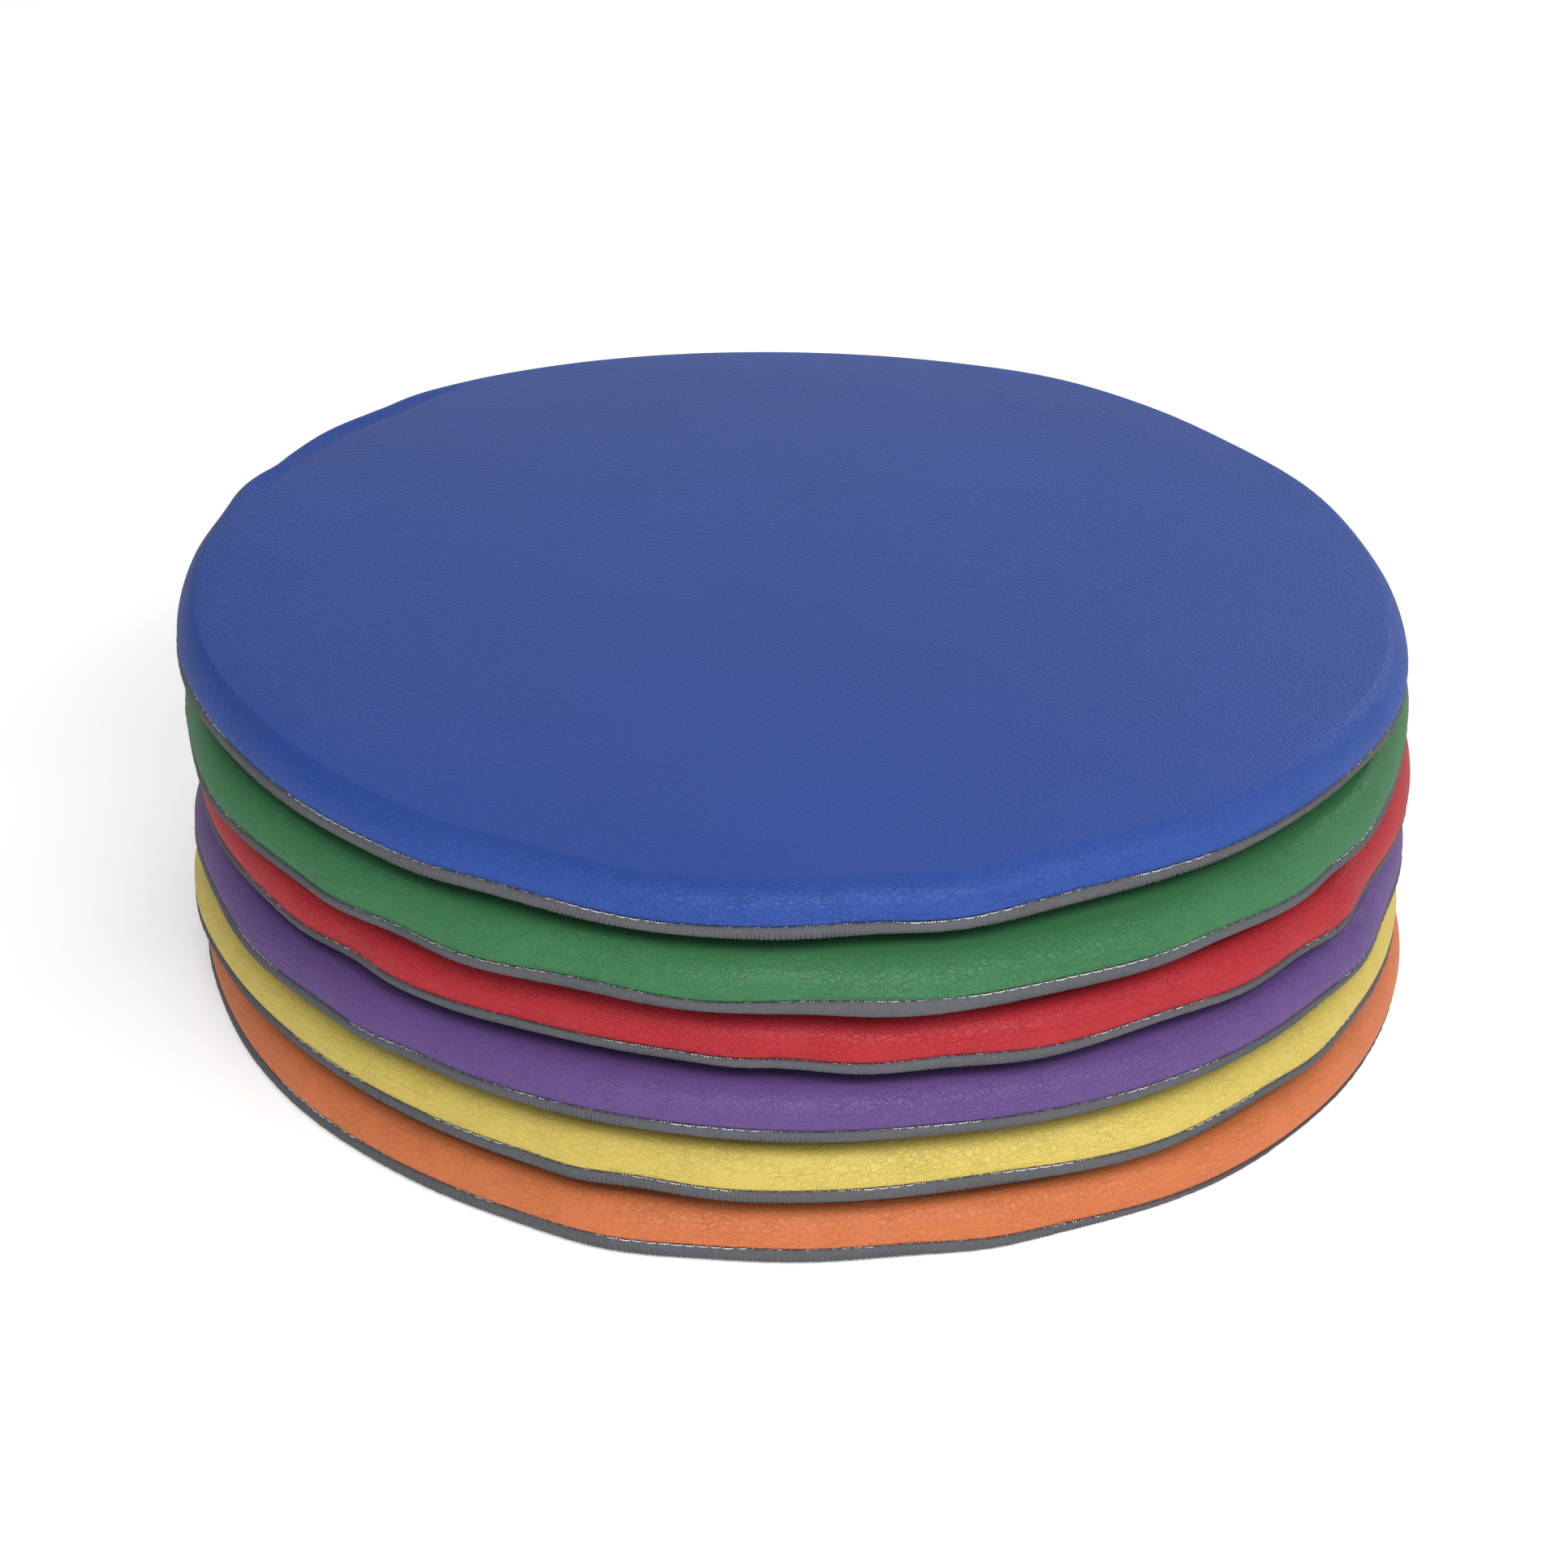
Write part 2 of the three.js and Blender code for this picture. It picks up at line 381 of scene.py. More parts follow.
def thinned(rings, spacing):
    """Rings in order towards a centre, each with half the points of the one before where they'd crowd."""
    count = len(rings[0])
    kept = []
    for points in rings:
        around = 2 * math.pi * np.hypot(points[:, 0], points[:, 1]).mean()
        if around / count < spacing and count % 2 == 0 and count > FEWEST_SEGMENTS:
            count //= 2
        kept.append(points[::len(points) // count])
    return kept


def thinned_outwards(rings, spacing):
    """The same for rings in order away from a centre."""
    return thinned(rings[::-1], spacing)[::-1]


# ---------------------------------------------------------------- one cushion's sizes, from the frame

class Cushion:
    """A cushion's place and sizes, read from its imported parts.

    Its place is the middle of its underside. Its top and its seam are heights above that.
    """

    def __init__(self, name, free_top):
        self.name = name
        self.body = f"{name}_cushion"
        self.free_top = free_top
        top_low, top_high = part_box(f"{name}_top_cover")
        thread_low, thread_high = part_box(f"{name}_seam_thread")
        under_low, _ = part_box(f"{name}_bottom_cover")
        self.place = np.array([(top_low.x + top_high.x) / 2, (top_low.y + top_high.y) / 2, under_low.z])
        self.radius = (top_high.x - top_low.x) / 2
        self.top = top_high.z - under_low.z
        self.seam = (thread_low.z + thread_high.z) / 2 - under_low.z
        self.seed = sum(ord(letter) for letter in name)

    def rise(self, angles):
        """How far the seam sits above its usual height at these angles."""
        return MM * closed_curve(SEAM_RISES[self.name], angles)

    def tuck(self, angles):
        """How far out the seam moves because it sits higher, at these angles."""
        return SEAM_TUCK * self.rise(angles) * np.abs(np.sin(np.radians(angles)))

    def untucked(self, angles):
        """The seam's radius at these angles, if it all sat at its usual height."""
        return self.radius + MM * closed_curve(OUTLINES[self.name], angles)

    def outline(self, angles):
        """The seam's radius at these angles."""
        return self.untucked(angles) + self.tuck(angles)

    def seam_height(self, angles):
        """The seam's height above the cushion's underside at these angles."""
        return self.seam + self.rise(angles)


# ---------------------------------------------------------------- the swollen shape

def start_rows(cushion):
    """Rings of the cover before it swells: out over the top, down the rim, and in underneath."""
    angles = degrees_round(SIM_SEGMENTS)
    edge = top_edge(cushion, angles)
    rows = top_rows(cushion, angles, edge) + rim_rows(cushion, angles, edge) + under_rows(cushion, angles)
    return np.array(rows)


def top_edge(cushion, angles):
    """The radius at which the top meets the rounded rim, which is narrower at the sides and back."""
    behind = smooth_step(-0.75, 0.1, np.sin(np.radians(angles)))
    width = RIM_WIDTH * (1 - RIM_TIGHTER * behind)
    return cushion.untucked(angles) * RIM_WAVES + cushion.radius * (1 - RIM_WAVES) - width


def top_rows(cushion, angles, edge):
    """The gently domed top, from its middle out."""
    middle = cushion.top - SHRINK
    fall = middle - cushion.seam - RIM_RISE
    rows = []
    for k in range(FLAT_ROWS):
        share = (k + 1) / (FLAT_ROWS + 1)
        rows.append(ring(angles, edge * share, middle - fall * share ** DOME_POWER))
    return rows


def rim_rows(cushion, angles, edge):
    """The rim, a quarter turn with a slight bulge. Its lower part follows the seam up, down, in and out."""
    rise = cushion.rise(angles)
    tuck = cushion.tuck(angles)
    width = cushion.untucked(angles) - edge
    rows = []
    for k in range(RIM_ROWS + 1):
        angle = math.pi / 2 * (1 - k / RIM_ROWS)
        lowness = 1 - math.sin(angle)
        follow = lowness ** 4
        bulge = RIM_BULGE * math.cos(angle) ** 4 * (1 - lowness ** 3)
        reach = edge + width * math.cos(angle) + tuck * follow + bulge
        rows.append(ring(angles, reach, cushion.seam + RIM_RISE * math.sin(angle) + rise * follow))
    return rows


def under_rows(cushion, angles):
    """The underside, from below the seam round to where it is flat, and in to its middle."""
    seam = cushion.outline(angles)
    height = cushion.seam_height(angles)
    rows = []
    for k in range(1, TURN_ROWS + 1):
        angle = math.pi / 2 * k / TURN_ROWS
        reach = seam - UNDERSIDE_CURVE * (1 - math.cos(angle))
        rows.append(ring(angles, reach, height * (1 - math.sin(angle))))
    for k in range(FLAT_ROWS):
        rows.append(ring(angles, (seam - UNDERSIDE_CURVE) * (1 - (k + 1) / (FLAT_ROWS + 1)), 0.0))
    return rows


def add_cloth(cushion, rows):
    """A closed cloth mesh through these rings, held along the seam and blown up by a light pressure."""
    above = thinned_outwards(list(rows[:SEAM_ROW]), SIM_SPACING)
    below = thinned(list(rows[SEAM_ROW:]), SIM_SPACING)
    points, faces = skin(above + below)
    cover = mesh_object(f"{cushion.name}_swelling", points, faces, cushion.place)
    start = 1 + sum(len(row) for row in above)
    held = cover.vertex_groups.new(name="held")
    held.add(list(range(start, start + len(below[0]))), 1.0, "REPLACE")
    cloth = cover.modifiers.new("swell", "CLOTH")
    settings = cloth.settings
    settings.quality = 8
    settings.mass = 0.4
    settings.tension_stiffness = 30
    settings.compression_stiffness = 10
    settings.shear_stiffness = 10
    settings.bending_stiffness = 8
    settings.vertex_group_mass = held.name
    settings.use_pressure = True
    settings.uniform_pressure_force = SIM_PRESSURE
    settings.effector_weights.gravity = 0
    cloth.collision_settings.use_collision = False
    cloth.point_cache.frame_start = 1
    cloth.point_cache.frame_end = SIM_FRAMES
    return cover, above + below


def read_cloth(cushion, cover, rings, rows):
    """The swollen rings, each point moved no further than MOST_SWELL. Removes the cloth mesh."""
    swollen_cover = cover.evaluated_get(bpy.context.evaluated_depsgraph_get())
    points = np.empty(len(swollen_cover.data.vertices) * 3)
    swollen_cover.data.vertices.foreach_get("co", points)
    points = points.reshape(-1, 3) - cushion.place
    moved = np.empty_like(rows)
    start = 1
    for k, at_rest in enumerate(rings):
        move = points[start:start + len(at_rest)] - at_rest
        moved[k] = turn(move[None], SIM_SEGMENTS)[0]
        start += len(at_rest)
    mesh = cover.data
    bpy.data.objects.remove(cover)
    bpy.data.meshes.remove(mesh)
    distance = np.linalg.norm(moved, axis=2, keepdims=True)
    moved *= np.minimum(1, MOST_SWELL / np.maximum(distance, 1e-9))
    return rows + calmed(rows, moved)


def calmed(rows, moved):
    """The movement as the foam inside lets it happen: less at the firm rim, and without short ripples."""
    give = np.full(len(rows), RIM_GIVE)
    give[:FLAT_ROWS] += (1 - RIM_GIVE) * (1 - (np.arange(FLAT_ROWS) / FLAT_ROWS) ** DOME_POWER)
    moved = moved * give[:, None, None]
    turns = np.arctan2(rows[..., 1], rows[..., 0])
    out = moved[..., 0] * np.cos(turns) + moved[..., 1] * np.sin(turns)
    up = moved[..., 2]
    waves = np.arange(SIM_SEGMENTS // 2 + 1)
    keep = np.exp(-(waves / KEPT_WAVES) ** 2)
    out = np.fft.irfft(np.fft.rfft(out, axis=1) * keep, SIM_SEGMENTS, axis=1)
    up = np.fft.irfft(np.fft.rfft(up, axis=1) * keep, SIM_SEGMENTS, axis=1)
    return np.stack([out * np.cos(turns), out * np.sin(turns), up], axis=2)


def swell_all(cushions):
    """Swells every cushion's cover in one simulation and returns the shapes by name."""
    shapes = {c.name: start_rows(c) for c in cushions}
    covers = {c.name: add_cloth(c, shapes[c.name]) for c in cushions}
    scene = bpy.context.scene
    for step in range(1, SIM_FRAMES + 1):
        scene.frame_set(step)
    for c in cushions:
        cover, rings = covers[c.name]
        shapes[c.name] = read_cloth(c, cover, rings, shapes[c.name])
    scene.frame_set(1)
    return shapes


def settle(cushion, rows):
    """Flattens the top where another cushion rests on it, and lets a free top crown a little."""
    limit = cushion.top + CROWN if cushion.free_top else cushion.top
    rows = rows.copy()
    rows[:SEAM_ROW, :, 2] = np.minimum(rows[:SEAM_ROW, :, 2], limit)
    return rows


# ---------------------------------------------------------------- the pieces of a cushion

def top_cover(cushion, shape):
    """The coloured cover: over the top, down the rim, and rolled in along the seam.

    Its rings are closer together near the rim.
    """
    coarse = np.linspace(0, FLAT_ROWS - 2, FLAT_ROWS - 1)
    finer = np.linspace(FLAT_ROWS - 1.85, FLAT_ROWS, 14)
    rim = np.linspace(FLAT_ROWS, ROLL_ROW, 34)[1:]
    rows = turn(spread(shape, np.concatenate([coarse, finer, rim])), TOP_SEGMENTS)
    if cushion.name == "blue":
        rows[..., 2] += back_fold(cushion, rows)
    outer = thinned_outwards(list(rows), TOP_SPACING)
    edge = rolled_edge(cushion, outer[-1])
    inner = thinned(lining(cushion, shape), LINING_SPACING)
    points, faces = skin(outer + edge + inner)
    return mesh_object(f"{cushion.name}_vinyl_top", points, faces, cushion.place)


def back_fold(cushion, rows):
    """The height to add for the fold at the back: a narrow valley with a soft ridge outside it."""
    angles = np.degrees(np.arctan2(rows[..., 1], rows[..., 0])) % 360
    inside = cushion.outline(degrees_round(rows.shape[1])) - np.hypot(rows[..., 0], rows[..., 1])
    sway = FOLD_SWAY * np.sin(np.radians(angles - FOLD_START) * FOLD_SWAYS)
    fade_in = smooth_step(FOLD_START, FOLD_START + FOLD_FADE, angles)
    fade_out = 1 - smooth_step(FOLD_END - FOLD_FADE, FOLD_END, angles)
    valley = VALLEY_DEPTH * np.exp(-((inside - FOLD_VALLEY - sway) / VALLEY_WIDTH) ** 2)
    ridge = RIDGE_HEIGHT * np.exp(-((inside - FOLD_RIDGE - sway) / RIDGE_WIDTH) ** 2)
    return fade_in * fade_out * (ridge - valley)


def rolled_edge(cushion, last):
    """Rings that take the cover's edge round from its last ring into the seam, pulled in by each stitch."""
    rings = [turn(last[None], TOP_SEGMENTS * 2)[0]]
    angles = degrees_round(EDGE_SEGMENTS)
    seam = cushion.outline(angles)
    height = cushion.seam_height(angles)
    notch = stitch_notch(cushion, angles)
    for k, (out, up) in enumerate(COLOURED_ROLL):
        pull = notch * (k + 1) / len(COLOURED_ROLL)
        reach = seam + (out - STITCH_PULLS_IN * pull) * MM
        rings.append(ring(angles, reach, height + (up - STITCH_PULLS_DOWN * pull) * MM))
    for inwards, step in ((GROOVE_DEPTH, 2), (SEAM_ALLOWANCE, 4)):
        rings.append(ring(angles[::step], seam[::step] - inwards, height[::step] + SEAM_HALF_GAP))
    return rings


def lining(cushion, shape):
    """Rings of the coloured cover's inner face, from the seam allowance back to the middle."""
    angles = degrees_round(LINING_SEGMENTS)
    seam = cushion.outline(angles)
    over = cushion.seam_height(angles) + SEAM_HALF_GAP + COVER_THICKNESS
    rows = turn(spread(shape, np.linspace(LINING_ROW, 0, 28)), LINING_SEGMENTS)
    inside = offset_rows(rows[::-1], COVER_THICKNESS)[::-1]
    edge = [ring(angles, seam - inwards, over) for inwards in (SEAM_ALLOWANCE, 1.8 * MM)]
    return edge + list(inside)


def offset_rows(rows, depth):
    """Rings that run out over the top and down the rim, moved in through the cover by depth."""
    radius = np.hypot(rows[..., 0], rows[..., 1])
    height = rows[..., 2]
    out = np.gradient(radius, axis=0)
    up = np.gradient(height, axis=0)
    length = np.hypot(out, up) + 1e-12
    moved = radius + up / length * depth
    scale = moved / np.maximum(radius, 1e-6)
    return np.stack([rows[..., 0] * scale, rows[..., 1] * scale, height - out / length * depth], axis=2)


def stitch_count(cushion):
    """How many stitches go round a cushion."""
    return round(2 * math.pi * cushion.radius / STITCH_LENGTH)


def stitch_notch(cushion, angles):
    """About 1 at each needle hole, less where the thread is slack, and 0 between the holes."""
    phase = angles / 360 * stitch_count(cushion)
    from_hole = np.abs(phase - np.round(phase))
    strength = 0.7 + 0.3 * wander(angles, cushion.seed + 5, 60)
    return strength * (1 - smooth_step(HOLE_RADIUS, PULL_RADIUS, from_hole))


def bottom_cover(cushion):
    """The grey cover: a full, puckered edge under the seam that curves in to a flat underside."""
    angles = degrees_round(PUCKER_SEGMENTS)
    seam = cushion.outline(angles)
    height = cushion.seam_height(angles)
    fullness = height / cushion.seam
    rings = []
    for inwards, step in GREY_EDGE:
        rings.append(ring(angles[::step], seam[::step] - inwards, height[::step] - SEAM_HALF_GAP))
    dimple = STITCH_DIMPLE * stitch_notch(cushion, angles)
    for out, up in GREY_SHOULDER:
        rings.append(ring(angles, seam + (out - dimple) * MM, height + up * MM * fullness))
    for out, up in GREY_SIDE:
        swing = PUCKER_HEIGHT * smooth_step(PUCKER_START, PUCKER_FULL, up)
        reach = seam + out * MM * fullness + pucker_wave(cushion, angles, -up) * swing
        rings.append(ring(angles, reach, height + up * MM * fullness))
    for inwards, step in GREY_UNDERSIDE:
        rings.append(ring(angles[::step], seam[::step] - inwards, 0.0))
    last_step = GREY_UNDERSIDE[-1][1]
    few = angles[::last_step]
    middle = [ring(few, seam[::last_step] * share, 0.0) for share in np.linspace(0.82, 0.06, 16)]
    inner = thinned_outwards(bottom_lining(cushion), LINING_SPACING)
    points, faces = skin(inner + rings + thinned(middle, UNDERSIDE_SPACING))
    return mesh_object(f"{cushion.name}_grey_underside", points, faces, cushion.place)


def bottom_lining(cushion):
    """Rings of the grey cover's inner face, from its middle out and up to the seam allowance."""
    angles = degrees_round(LINING_SEGMENTS)
    seam = cushion.outline(angles)
    height = cushion.seam_height(angles)
    thickness = np.minimum(COVER_THICKNESS, height * 0.3)
    flat = seam - LINING_FLAT
    rings = [ring(angles, flat * share, COVER_THICKNESS) for share in np.linspace(0.05, 0.98, 14)]
    for inwards, of_seam, of_thickness in GREY_LINING:
        rings.append(ring(angles, seam - inwards, height * of_seam + thickness * of_thickness))
    return rings


def pucker_wave(cushion, angles, down):
    """The grey edge's puckers at a depth of down millimetres below the seam, about -1 to 1.

    They are narrow pleats of uneven spacing, strong in some places and faint in others, with small
    lumps between them.
    """
    lean = closed_curve(PUCKER_LEANS[cushion.name], angles) * down * MM
    drift = wander(angles, cushion.seed + 1, 90) * PUCKER_LENGTH * 0.9
    count = round(2 * math.pi * cushion.radius / PUCKER_LENGTH)
    phase = np.radians(angles) * count + 2 * math.pi * (lean + drift) / PUCKER_LENGTH
    strength = 0.25 + 0.75 * smooth_step(-0.35, 0.35, wander(angles, cushion.seed + 2, 16))
    pleats = 2 * np.abs(np.sin(phase / 2)) - 1.2
    lumps = 0.4 * wander(angles, cushion.seed + 3, 200)
    return strength * pleats + lumps


def foam_pad(cushion, shape):
    """The foam that fills the covers, let in around the turned-in edges of the seam."""
    angles = degrees_round(PAD_SEGMENTS)
    rows = turn(spread(shape, np.linspace(0, PAD_ROW, 30)), PAD_SEGMENTS)
    outer = thinned_outwards(list(offset_rows(rows, PAD_INSET)), PAD_SPACING)
    seam = cushion.outline(angles)
    waist = seam - SEAM_ALLOWANCE - PAD_CLEARANCE
    height = cushion.seam_height(angles)
    over = height + SEAM_HALF_GAP + PAD_INSET
    middle = np.minimum(np.maximum(height, PAD_INSET + 1.4 * MM), over - 0.2 * MM)
    low = np.minimum(PAD_INSET + 0.8 * MM, middle - 0.2 * MM)
    under = [ring(angles, seam - 2.6 * MM, over), ring(angles, waist, over), ring(angles, waist, middle),
             ring(angles, waist - 1 * MM, low), ring(angles, waist - 3.4 * MM, np.minimum(PAD_INSET, low))]
    flat = waist - 4 * MM
    under += [ring(angles, flat * share, PAD_INSET) for share in np.linspace(0.95, 0.05, 14)]
    points, faces = skin(outer + thinned(under, PAD_SPACING))
    return mesh_object(f"{cushion.name}_foam", points, faces, cushion.place)


def seam_stitches(cushion):
    """A line of separate twisted stitches along the grey edge's shoulder, each dipping in at its ends.

    Out and up are in millimetres from the seam. Some stretches of stitches are drawn in deeper than
    others, and each stitch also differs a little from the next.
    """
    count = stitch_count(cushion)
    random = np.random.default_rng(cushion.seed + 7)
    starts = degrees_round(count)
    drawn_in = smooth_step(-0.25, 0.15, wander(starts, cushion.seed + 8, 14))
    along = np.linspace(0, 1, STITCH_RINGS)
    angles = (starts[:, None] + 360 / count * (0.05 + 0.9 * along)).ravel()
    arch = np.tile(np.sin(math.pi * along) ** 0.25, count)
    depth = np.repeat(0.4 * drawn_in + 0.1 * random.uniform(-1, 1, count), STITCH_RINGS)
    tilt = np.repeat(random.uniform(-0.1, 0.1, count), STITCH_RINGS) * np.tile(along - 0.5, count)
    wobble = 0.07 * random.uniform(-1, 1, len(angles))
    out = -1.0 + 0.48 * arch - depth + wobble
    up = -0.22 - 0.12 * arch + 0.1 * depth + tilt + wobble
    line = ring(angles, cushion.outline(angles) + out * MM, cushion.seam_height(angles) + up * MM)
    twist = 0.75 + 0.4 * np.sin(2 * math.pi * 3.5 * along)
    twist[[0, -1]] = 0.4
    points, faces = [], []
    for k in range(count):
        add_tube(points, faces, line[k * STITCH_RINGS:(k + 1) * STITCH_RINGS], THREAD_RADIUS * twist)
    return mesh_object(f"{cushion.name}_stitches", points, faces, cushion.place)


def add_tube(points, faces, line, radii):
    """Adds a closed tube along a short line to points and faces."""
    start = len(points)
    along = np.gradient(line, axis=0)
    along /= np.linalg.norm(along, axis=1, keepdims=True)
    side = np.cross(along, (0, 0, 1))
    side /= np.linalg.norm(side, axis=1, keepdims=True)
    up = np.cross(side, along)
    last = len(line) - 1
    for k, centre in enumerate(line):
        for n in range(STITCH_SIDES):
            angle = 2 * math.pi * n / STITCH_SIDES
            points.append(centre + radii[k] * (math.cos(angle) * side[k] + math.sin(angle) * up[k]))
    step = [(n + 1) % STITCH_SIDES for n in range(STITCH_SIDES)]
    for k in range(last):
        here, after = start + k * STITCH_SIDES, start + (k + 1) * STITCH_SIDES
        faces += [[here + n, here + step[n], after + step[n], after + n] for n in range(STITCH_SIDES)]
    faces.append([start + n for n in reversed(range(STITCH_SIDES))])
    faces.append([start + last * STITCH_SIDES + n for n in range(STITCH_SIDES)])


# ---------------------------------------------------------------- materials

def linear(colour):
    """Linear RGBA from sRGB."""
    return tuple(c / 12.92 if c <= 0.04045 else ((c + 0.055) / 1.055) ** 2.4 for c in colour) + (1.0,)


class Nodes:
    """A small helper for building a material's node tree."""

    def __init__(self, name):
        self.material = bpy.data.materials.new(name)
        self.material.use_nodes = True
        self.tree = self.material.node_tree
        self.tree.nodes.clear()
        self.out = self.add("ShaderNodeOutputMaterial")
        self.shader = self.add("ShaderNodeBsdfPrincipled")
        self.link(self.shader, "BSDF", self.out, "Surface")
        self.position = self.add("ShaderNodeTexCoord")

    def add(self, kind, **settings):
        node = self.tree.nodes.new(kind)
        for key, value in settings.items():
            setattr(node, key, value)
        return node

    def link(self, source, output, target, socket):
        self.tree.links.new(source.outputs[output], target.inputs[socket])

    def feed_position(self, node):
        """Makes a texture or vector node read the object's own coordinates, in metres."""
        self.link(self.position, "Object", node, "Vector")

    def noise(self, scale, detail=2.0):
        node = self.add("ShaderNodeTexNoise")
        node.inputs["Scale"].default_value = scale
        node.inputs["Detail"].default_value = detail
        self.feed_position(node)
        return node

    def cells(self, scale, vector):
        """A network of cells, whose Distance output is the distance to the nearest edge between them."""
        node = self.add("ShaderNodeTexVoronoi", feature="DISTANCE_TO_EDGE")
        node.inputs["Scale"].default_value = scale
        self.tree.links.new(vector, node.inputs["Vector"])
        return node

    def remap(self, source, output, low, high, to_low=0.0, to_high=1.0):
        """Maps a node's output smoothly from low..high to to_low..to_high, and holds it beyond them."""
        node = self.add("ShaderNodeMapRange", interpolation_type="SMOOTHSTEP")
        node.inputs["From Min"].default_value = low
        node.inputs["From Max"].default_value = high
        node.inputs["To Min"].default_value = to_low
        node.inputs["To Max"].default_value = to_high
        self.link(source, output, node, "Value")
        return node.outputs["Result"]

    def math(self, operation, first, second):
        """Arithmetic on two values, each a number or an output."""
        node = self.add("ShaderNodeMath", operation=operation)
        for socket, value in zip(node.inputs, (first, second)):
            if isinstance(value, (int, float)):
                socket.default_value = value
            else:
                self.tree.links.new(value, socket)
        return node.outputs["Value"]

    def warped(self, scale, amount, heading=0.0, length=1.0):
        """Coordinates shifted by noise, which makes a pattern irregular, and stretched along a heading."""
        node = self.noise(scale, detail=1.0)
        centred = self.add("ShaderNodeVectorMath", operation="SUBTRACT")
        centred.inputs[1].default_value = (0.5, 0.5, 0.5)
        self.tree.links.new(node.outputs["Color"], centred.inputs[0])
        sized = self.add("ShaderNodeVectorMath", operation="SCALE")
        sized.inputs["Scale"].default_value = amount
        self.tree.links.new(centred.outputs[0], sized.inputs[0])
        moved = self.add("ShaderNodeVectorMath", operation="ADD")
        self.link(self.position, "Object", moved, 0)
        self.tree.links.new(sized.outputs[0], moved.inputs[1])
        drawn = self.add("ShaderNodeMapping", vector_type="TEXTURE")
        drawn.inputs["Rotation"].default_value = (0.0, 0.0, math.radians(heading))
        drawn.inputs["Scale"].default_value = (length, 1.0, 1.0)
        self.tree.links.new(moved.outputs[0], drawn.inputs["Vector"])
        return drawn.outputs[0]

    def mix_colours(self, factor, first, second):
        """A mix of two colours, each a constant or an output."""
        node = self.add("ShaderNodeMix", data_type="RGBA")
        for socket, colour in ((node.inputs[6], first), (node.inputs[7], second)):
            if isinstance(colour, tuple):
                socket.default_value = colour
            else:
                self.tree.links.new(colour, socket)
        self.tree.links.new(factor, node.inputs["Factor"])
        return node.outputs[2]

    def bump(self, height, strength, distance, normal=None):
        """A normal bent by a height, on top of another bent normal where one is given."""
        node = self.add("ShaderNodeBump")
        node.inputs["Strength"].default_value = strength
        node.inputs["Distance"].default_value = distance
        self.tree.links.new(height, node.inputs["Height"])
        if normal is not None:
            self.tree.links.new(normal, node.inputs["Normal"])
        return node.outputs["Normal"]

    def feed(self, output, socket):
        """Links an output to one of the shader's sockets."""
        self.tree.links.new(output, self.shader.inputs[socket])


def shade(colour, factor):
    """A linear colour made lighter or darker."""
    return tuple(min(1.0, c * factor) for c in colour[:3]) + (1.0,)


def vinyl(name, colour, gloss_roughness=0.34, crease_depth=1.0):
    """Coated vinyl with a leather grain: small pebbles, and round the rim long thin creases that cross. The
    creases are painted a little lighter, a painted highlight.
    """
    nodes = Nodes(name)
    creases = creases_and_painted_highlight(nodes)
    grain = nodes.cells(600, nodes.warped(200, 4.0 * MM, heading=-72, length=2.0))
    pebbles = nodes.remap(grain, "Distance", 0.0, 0.22)
    speckle = nodes.noise(1900).outputs["Fac"]
    pebbled = nodes.bump(pebbles, strength=0.25, distance=0.25 * MM)
    creased = nodes.bump(creases, strength=0.8 * crease_depth, distance=-0.25 * MM, normal=pebbled)
    surface = nodes.bump(speckle, strength=0.15, distance=0.12 * MM, normal=creased)
    nodes.feed(surface, "Normal")
    nodes.feed(surface, "Coat Normal")
    base = linear(colour)
    cloud = nodes.remap(nodes.noise(14, detail=3), "Fac", 0.3, 0.7)
    plain = nodes.mix_colours(cloud, shade(base, 0.975), shade(base, 1.025))
    # Painted highlight: the creases' colour is made a little lighter, standing in for the light they catch.
    nodes.feed(nodes.mix_colours(creases, plain, shade(base, 1.05)), "Base Color")
    nodes.shader.inputs["Roughness"].default_value = 0.6
    nodes.shader.inputs["Specular IOR Level"].default_value = 0.0
    nodes.shader.inputs["Coat Weight"].default_value = 0.3
    nodes.shader.inputs["Coat Roughness"].default_value = gloss_roughness
    return nodes.material


def creases_and_painted_highlight(nodes):
    """1 in the creases and 0 between them: sets that cross, worn away in places, and faint on the flat. It
    bends the normal and also marks where the painted highlight along the creases goes.
    """
    smooth = 1.0
    for heading, cells_per_metre, length in CREASE_SETS:
        network = nodes.cells(cells_per_metre, nodes.warped(240, 2.2 * MM, heading, length))
        between = nodes.remap(network, "Distance", 0.0, CREASE_WIDTH)
        worn = nodes.remap(nodes.noise(70 + heading), "Fac", 0.38, 0.62, 0.75, 0.0)
        smooth = nodes.math("MULTIPLY", nodes.math("MAXIMUM", between, worn), smooth)
    geometry = nodes.add("ShaderNodeNewGeometry")
    facing = nodes.add("ShaderNodeSeparateXYZ")
    nodes.link(geometry, "Normal", facing, "Vector")
    on_rim = nodes.remap(facing, "Z", 0.9, 0.995, 1.0, 0.12)
    return nodes.math("MULTIPLY", nodes.math("SUBTRACT", 1.0, smooth), on_rim)


def foam_material():
    """Open-cell foam: cream, quite rough, with small pores, painted darker in its low pits as painted
    shade.
    """
    nodes = Nodes("foam")
    base = linear(FOAM)
    pores = nodes.cells(900, nodes.warped(500, 2.0 * MM))
    pits_and_shade = nodes.remap(pores, "Distance", 0.0, 0.35)
    # Painted shade: the foam is painted darker where the bump makes its pits.
    nodes.feed(nodes.mix_colours(pits_and_shade, shade(base, 0.72), base), "Base Color")
    nodes.feed(nodes.bump(pits_and_shade, strength=0.8, distance=0.5 * MM), "Normal")
    nodes.shader.inputs["Roughness"].default_value = 0.95
    return nodes.material


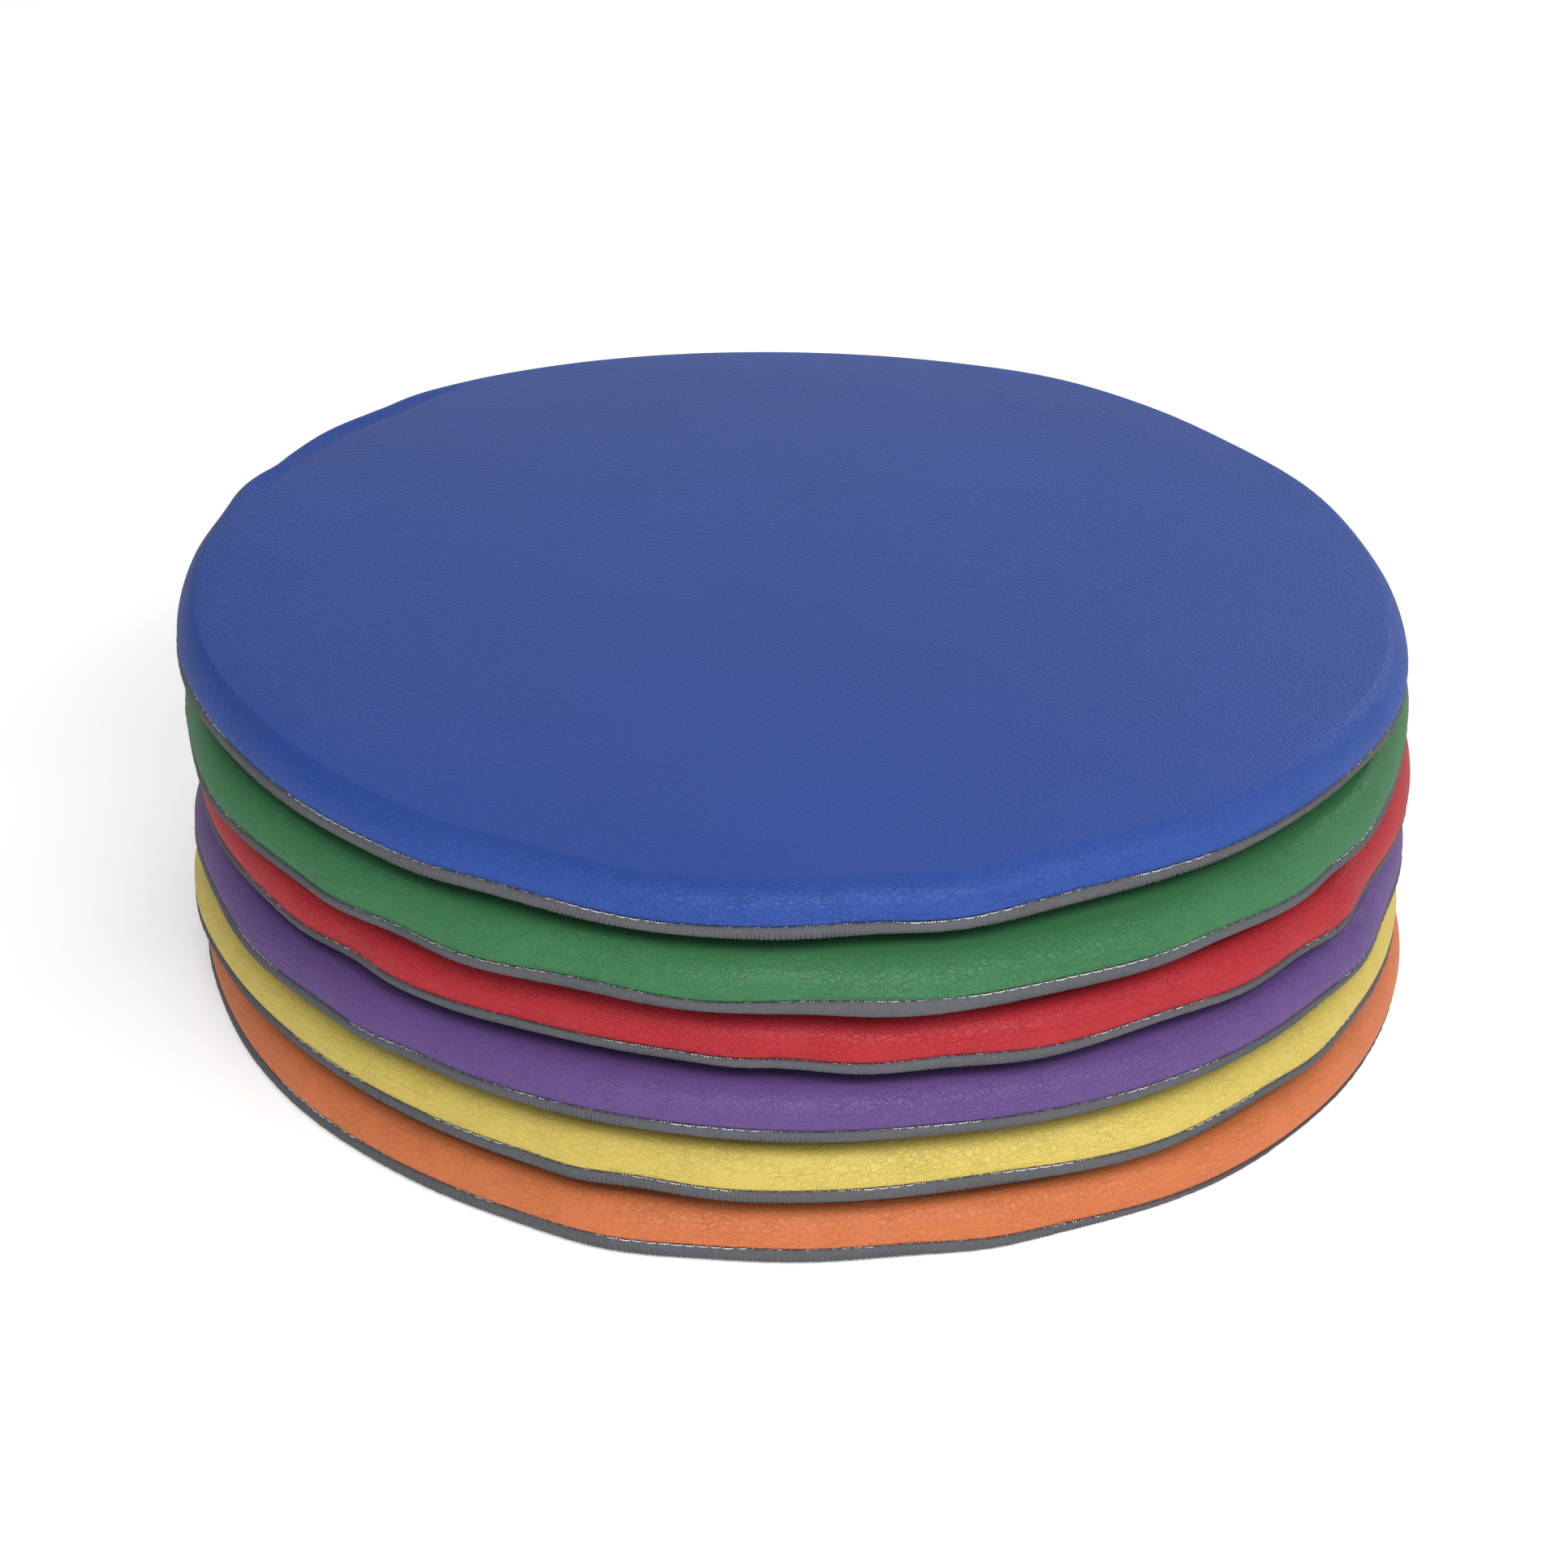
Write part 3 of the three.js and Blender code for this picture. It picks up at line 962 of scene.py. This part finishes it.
def thread_material():
    """Twisted polyester thread: pale grey, painted darker in the grooves of its twist as painted shade,
    with the sheen of its filaments.
    """
    nodes = Nodes("thread")
    base = linear(THREAD)
    twist = nodes.add("ShaderNodeTexWave", wave_type="BANDS", bands_direction="DIAGONAL")
    twist.inputs["Scale"].default_value = 1400
    twist.inputs["Distortion"].default_value = 1.5
    nodes.feed_position(twist)
    # Painted shade: the thread is painted darker in the grooves of its twist.
    nodes.feed(nodes.mix_colours(twist.outputs["Fac"], shade(base, 0.8), base), "Base Color")
    nodes.feed(nodes.bump(twist.outputs["Fac"], strength=0.4, distance=0.05 * MM), "Normal")
    nodes.shader.inputs["Roughness"].default_value = 0.3
    nodes.shader.inputs["Specular IOR Level"].default_value = 0.8
    return nodes.material


def floor_material():
    """Pale and matt, with a glow that grows with the distance from the stack."""
    nodes = Nodes("pale_floor")
    base = linear(FLOOR)
    cloud = nodes.remap(nodes.noise(3), "Fac", 0.3, 0.7)
    nodes.feed(nodes.mix_colours(cloud, shade(base, 0.99), base), "Base Color")
    nodes.shader.inputs["Roughness"].default_value = 0.9
    nodes.shader.inputs["Specular IOR Level"].default_value = 0.1
    nodes.shader.inputs["Emission Color"].default_value = base
    distance = nodes.add("ShaderNodeVectorMath", operation="LENGTH")
    nodes.feed_position(distance)
    glow = nodes.remap(distance, "Value", NEAR_FLOOR, FAR_FLOOR, FLOOR_GLOW, FAR_FLOOR_GLOW)
    nodes.feed(glow, "Emission Strength")
    return nodes.material


# ---------------------------------------------------------------- camera, floor and light

def add_camera():
    """Looks down at the stack from the front."""
    data = bpy.data.cameras.new("camera")
    data.sensor_width = 36
    data.lens = CAMERA_LENS
    data.clip_end = 50
    camera = bpy.data.objects.new("camera", data)
    camera.location = CAMERA_PLACE
    camera.rotation_euler = (math.radians(90 - CAMERA_TILT), 0, 0)
    bpy.context.collection.objects.link(camera)
    bpy.context.scene.camera = camera


def add_floor():
    """A round floor that curves up into a low wall all the way round, far outside the softboxes."""
    count = FLOOR_SEGMENTS
    angles = degrees_round(count)
    flat = FLOOR_RADIUS - FLOOR_CURVE
    rings = [ring(angles, radius, 0.0) for radius in (FLOOR_RADIUS / 3, flat - 0.1)]
    for step in range(FLOOR_CURVE_STEPS + 1):
        bend = math.pi / 2 * step / FLOOR_CURVE_STEPS
        rings.append(ring(angles, flat + FLOOR_CURVE * math.sin(bend), FLOOR_CURVE * (1 - math.cos(bend))))
    rings.append(ring(angles, FLOOR_RADIUS, WALL_HEIGHT))
    faces = [[0, 1 + i, 1 + (i + 1) % count] for i in range(count)]
    for k in range(len(rings) - 1):
        faces += band(count, count, 1 + k * count, 1 + (k + 1) * count)
    floor = mesh_object("studio_floor", np.concatenate([np.zeros((1, 3))] + rings), faces)
    floor.data.materials.append(floor_material())


def add_softbox(name, place, width, height, watts):
    """A rectangular white light, aimed at the stack."""
    data = bpy.data.lights.new(name, "AREA")
    data.shape = "RECTANGLE"
    data.size = width
    data.size_y = height
    data.energy = watts
    light = bpy.data.objects.new(name, data)
    light.location = place
    light.rotation_euler = (Vector(LIGHT_TARGET) - place).to_track_quat("-Z", "Y").to_euler()
    bpy.context.collection.objects.link(light)


def add_world():
    """A very dim white background."""
    world = bpy.data.worlds.new("studio")
    bpy.context.scene.world = world
    world.use_nodes = True
    background = world.node_tree.nodes["Background"]
    background.inputs["Color"].default_value = (1.0, 1.0, 1.0, 1.0)
    background.inputs["Strength"].default_value = WORLD_STRENGTH


def add_lights():
    """The softboxes, all at the same distance round the stack."""
    for name, (azimuth, elevation, width, height, watts) in LIGHTS.items():
        across = math.radians(azimuth)
        up = math.radians(elevation)
        place = Vector((math.sin(across) * math.cos(up), -math.cos(across) * math.cos(up), math.sin(up)))
        add_softbox(name, place * LIGHT_DISTANCE, width, height, watts)


# ---------------------------------------------------------------- the stack

def add_piece(piece, cushion, node, material):
    """Gives a piece its material and its CAD body, and hides the CAD node that it stands for."""
    piece.data.materials.append(material)
    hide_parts(node)
    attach(piece, cushion.body)


def add_cushion(cushion, shape, grey, foam, thread):
    """Builds a cushion's four pieces on its settled shape."""
    name = cushion.name
    coloured = top_cover(cushion, shape)
    underside = bottom_cover(cushion)
    pad = foam_pad(cushion, shape)
    stitches = seam_stitches(cushion)
    coloured_vinyl = vinyl(f"{name}_vinyl", COLOURS[name])
    add_piece(coloured, cushion, f"{name}_top_cover", coloured_vinyl)
    add_piece(underside, cushion, f"{name}_bottom_cover", grey)
    add_piece(pad, cushion, f"{name}_foam_pad", foam)
    add_piece(stitches, cushion, f"{name}_seam_thread", thread)


def add_stack():
    """Builds the six cushions, from the floor up. The last one's top is free."""
    names = sorted(OUTLINES, key=lambda name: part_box(f"{name}_top_cover")[0].z)
    cushions = [Cushion(name, free_top=name == names[-1]) for name in names]
    shapes = swell_all(cushions)
    grey = vinyl("grey_vinyl", GREY, gloss_roughness=0.45, crease_depth=0.6)
    foam = foam_material()
    thread = thread_material()
    for cushion in cushions:
        add_cushion(cushion, settle(cushion, shapes[cushion.name]), grey, foam, thread)


add_camera()
add_floor()
add_world()
add_lights()
add_stack()
bpy.context.scene.view_settings.view_transform = "Standard"
